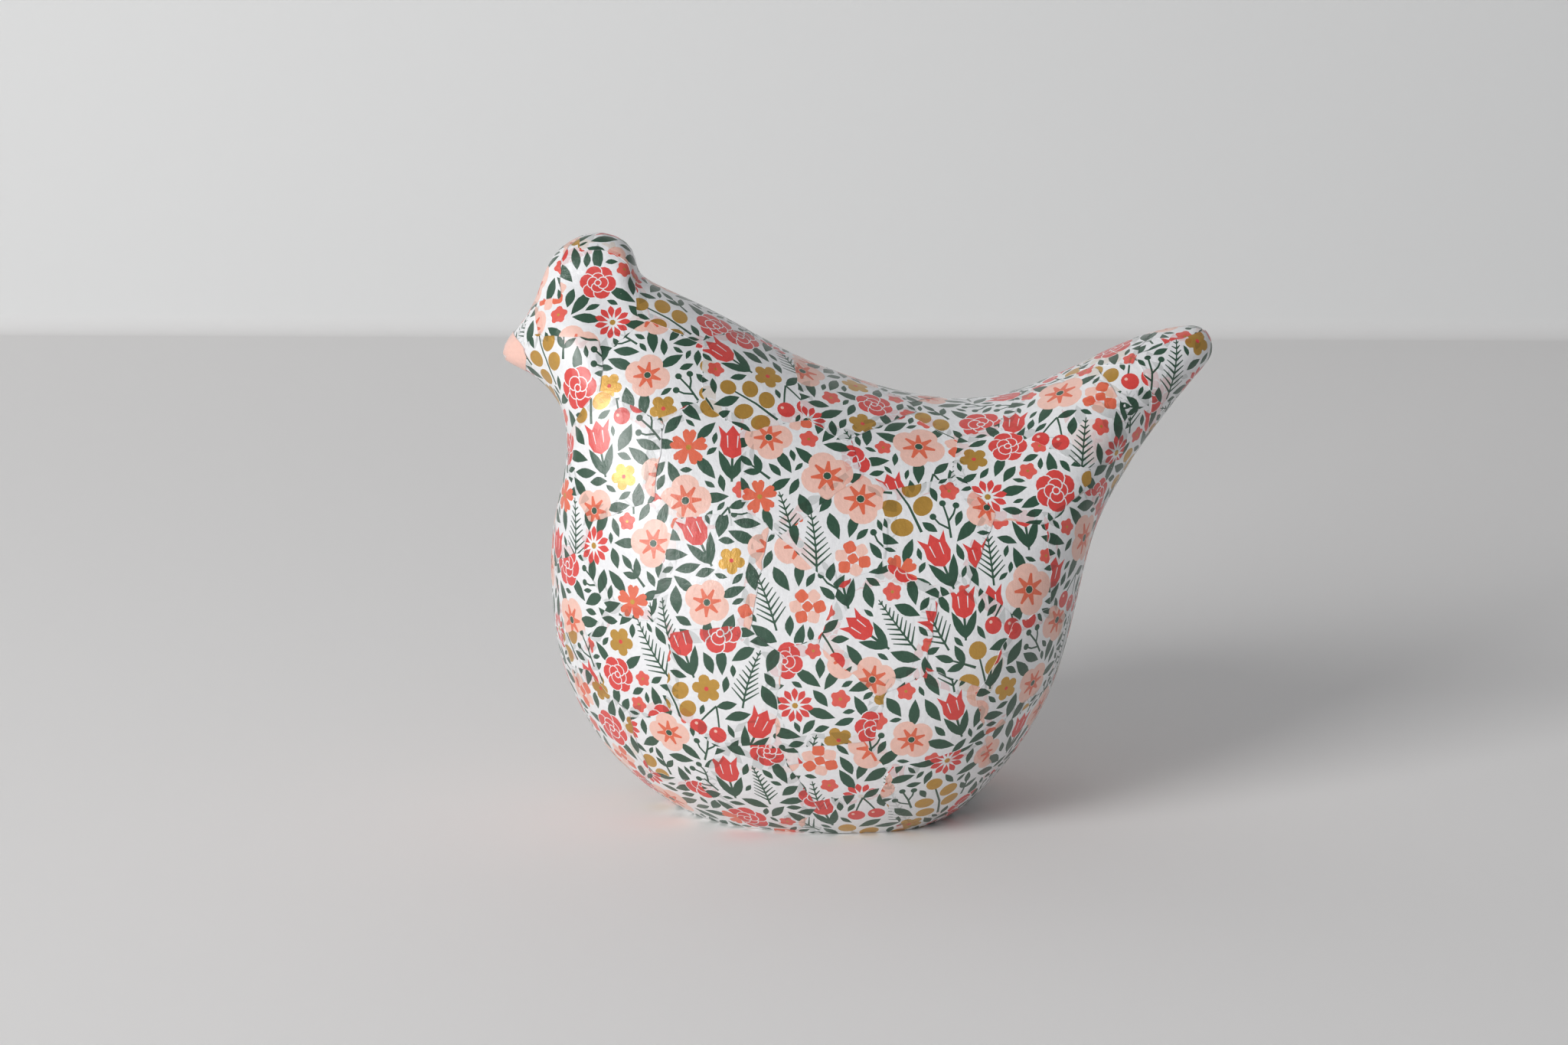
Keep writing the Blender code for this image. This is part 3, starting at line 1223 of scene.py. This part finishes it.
def printed_paper():
    material, nodes, links, shader = new_material("printed_paper")
    ink = attribute(nodes, "ink", "Color")
    foil = attribute(nodes, "foil", "Fac")
    mottle = ranged(nodes, links, noise(nodes, links, *MOTTLE), *MOTTLE_RANGE)
    shade = nodes.new("ShaderNodeVectorMath")
    shade.operation = "SCALE"
    links.new(ink, shade.inputs[0])
    links.new(mottle, shade.inputs["Scale"])
    links.new(shade.outputs["Vector"], shader.inputs["Base Color"])
    links.new(foil, shader.inputs["Metallic"])
    rough = ranged(nodes, links, noise(nodes, links, *DULLNESS), *DULLNESS_RANGE)
    links.new(rough, shader.inputs["Roughness"])
    set_inputs(shader, {"Coat Weight": COAT_WEIGHT, "Coat Roughness": COAT_ROUGHNESS})
    fibres = bump(nodes, links, noise(nodes, links, *FIBRES), FIBRE_DEPTH)
    strokes = bump(nodes, links, noise(nodes, links, *STROKES), STROKE_DEPTH, fibres)
    wrinkles = bump(nodes, links, noise(nodes, links, *WRINKLES), WRINKLE_DEPTH, strokes)
    links.new(wrinkles, shader.inputs["Normal"])
    links.new(wrinkles, shader.inputs["Coat Normal"])
    return material


paper_look = printed_paper()
for sheet in paper:
    sheet.data.materials.append(paper_look)
    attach(sheet, "root")
print(len(paper), "layers have the material", paper_look.name)

# %% [markdown]
# ## The core
#
# Under the paper is the papier-mache form itself. It shows only on the underside, where
# it is plain: matt, off-white and a little rough.

# %% Give the core its papier-mache
CORE_COLOUR = (0.87, 0.85, 0.82)
BLOTCH_COLOUR = [0.93 * c for c in CORE_COLOUR]
CORE_ROUGHNESS = 0.75
BLOTCHES = (120, 4)
PULP = (500, 4, 0.6)
PULP_DEPTH = 0.0002


def blended(nodes, links, share, one, other):
    """A colour that goes from one screen colour to another as share goes from 0 to 1."""
    node = nodes.new("ShaderNodeMix")
    node.data_type = "RGBA"
    links.new(share, node.inputs["Factor"])
    set_inputs(node, {"A": (*linear(one), 1), "B": (*linear(other), 1)})
    return node.outputs["Result"]


def papier_mache():
    material, nodes, links, shader = new_material("papier_mache")
    share = ranged(nodes, links, noise(nodes, links, *BLOTCHES), 0.0, 1.0)
    colour = blended(nodes, links, share, CORE_COLOUR, BLOTCH_COLOUR)
    links.new(colour, shader.inputs["Base Color"])
    shader.inputs["Roughness"].default_value = CORE_ROUGHNESS
    pulp = bump(nodes, links, noise(nodes, links, *PULP), PULP_DEPTH)
    links.new(pulp, shader.inputs["Normal"])
    return material


core.data.materials.clear()
core.data.materials.append(papier_mache())
print("the core has the material", core.data.materials[0].name)

# %% [markdown]
# ## Floor, wall and light
#
# The hen stands on a plain pale floor in front of a plain wall. Floor and wall are one
# sheet, rounded where they meet, as a photographer hangs it. A large window of light in
# front on the left makes the long soft highlight on the breast and the soft shadow on the
# right. The rest is even light from a pale room.

# %% Set the stage
FLOOR_COLOUR = (0.95, 0.943, 0.937)
WALL_COLOUR = (0.928, 0.929, 0.926)
WALL_DISTANCE = 0.895
WALL_TOP = 4
FLOOR_FRONT = -3
STAGE_HALF_WIDTH = 6
STAGE_ROUGHNESS = 0.9
COVE = 0.012
COVE_POINTS = 9
WINDOW_PLACE = Vector((-1.53, -1.57, 0.91))
WINDOW_SIZE = (1.0, 1.2)
WINDOW_POWER = 42.0
ROOM_LIGHT = (0.84, 0.86, 0.90, 1.0)
ROOM_STRENGTH = 0.275


def backdrop():
    """Floor and wall in one sheet, rounded where they meet."""
    turn = np.linspace(0, math.pi / 2, COVE_POINTS)
    rounded = [(WALL_DISTANCE - COVE + COVE * math.sin(t), COVE - COVE * math.cos(t)) for t in turn]
    profile = [(FLOOR_FRONT, 0), *rounded, (WALL_DISTANCE, WALL_TOP)]
    points = [(x, y, z) for x in (-STAGE_HALF_WIDTH, STAGE_HALF_WIDTH) for y, z in profile]
    count = len(profile)
    faces = [(k, k + count, k + 1 + count, k + 1) for k in range(count - 1)]
    mesh = bpy.data.meshes.new("backdrop")
    mesh.from_pydata(points, [], faces)
    mesh.shade_smooth()
    obj = added("backdrop", mesh)
    material, nodes, links, shader = new_material("backdrop")
    height = nodes.new("ShaderNodeSeparateXYZ")
    links.new(nodes.new("ShaderNodeTexCoord").outputs["Object"], height.inputs["Vector"])
    share = nodes.new("ShaderNodeMapRange")
    share.inputs["From Max"].default_value = COVE
    links.new(height.outputs["Z"], share.inputs["Value"])
    colour = blended(nodes, links, share.outputs["Result"], FLOOR_COLOUR, WALL_COLOUR)
    links.new(colour, shader.inputs["Base Color"])
    shader.inputs["Roughness"].default_value = STAGE_ROUGHNESS
    mesh.materials.append(material)


def softbox(name, place, size, power):
    light = bpy.data.lights.new(name, "AREA")
    light.shape = "RECTANGLE"
    light.size, light.size_y = size
    light.energy = power
    obj = added(name, light)
    obj.location = place
    obj.rotation_mode = "QUATERNION"
    obj.rotation_quaternion = (HEN_MIDDLE - place).to_track_quat("-Z", "Y")
    return obj


backdrop()
softbox("window_light", WINDOW_PLACE, WINDOW_SIZE, WINDOW_POWER)
room = bpy.data.worlds.new("room")
room.use_nodes = True
set_inputs(room.node_tree.nodes["Background"], {"Color": ROOM_LIGHT, "Strength": ROOM_STRENGTH})
bpy.context.scene.world = room
# The standard view keeps the inks as bright and clean as they were mixed.
bpy.context.scene.view_settings.view_transform = "Standard"
print("stage set")
